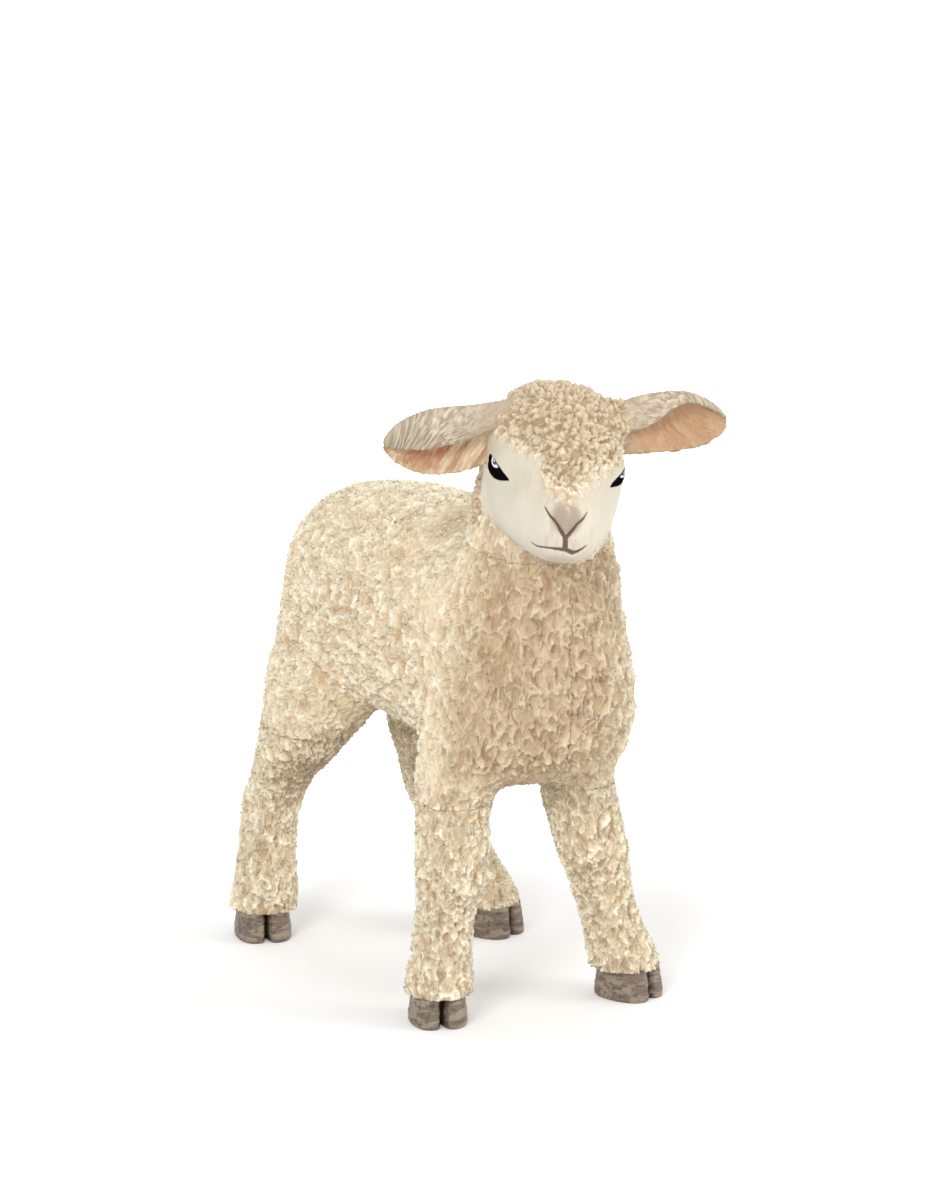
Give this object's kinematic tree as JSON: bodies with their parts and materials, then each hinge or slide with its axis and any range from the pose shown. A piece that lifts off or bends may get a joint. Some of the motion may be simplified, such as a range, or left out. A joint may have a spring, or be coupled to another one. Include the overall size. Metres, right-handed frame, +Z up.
{
  "type": "toy lamb figure",
  "caption": "Standing toy lamb with a moulded woolly coat, smooth turned face, outstretched folded ears, glossy almond eyes, hanging tail and cloven hooves.",
  "frame": {"origin": "on the floor under the middle of the figure's bounding box, between the hooves", "axes": "+Z up; the body lies along Y with the chest towards -Y and the tail towards +Y; the lamb's own left side is +X"},
  "size_m": [0.0236, 0.0456, 0.0488],
  "materials": {
    "fleece_paint": "cream vinyl with a matt tan wash in the wool's hollows",
    "face_paint": "matt cream paint over vinyl",
    "ear_paint": "matt cream and pink paint over vinyl",
    "hoof_paint": "satin grey-brown paint over vinyl",
    "eye_gloss": "gloss black"
  },
  "bodies": {
    "root": {"torso_left": "fleece_paint", "torso_right": "fleece_paint", "foreleg_left": "fleece_paint", "foreleg_right": "fleece_paint", "hindleg_left": "fleece_paint", "hindleg_right": "fleece_paint", "tail": "fleece_paint", "head": "face_paint", "ear_left": "ear_paint", "ear_right": "ear_paint", "forehoof_left": "hoof_paint", "forehoof_right": "hoof_paint", "hindhoof_left": "hoof_paint", "hindhoof_right": "hoof_paint", "eye_left": "eye_gloss", "eye_right": "eye_gloss"}
  },
  "joints": []
}
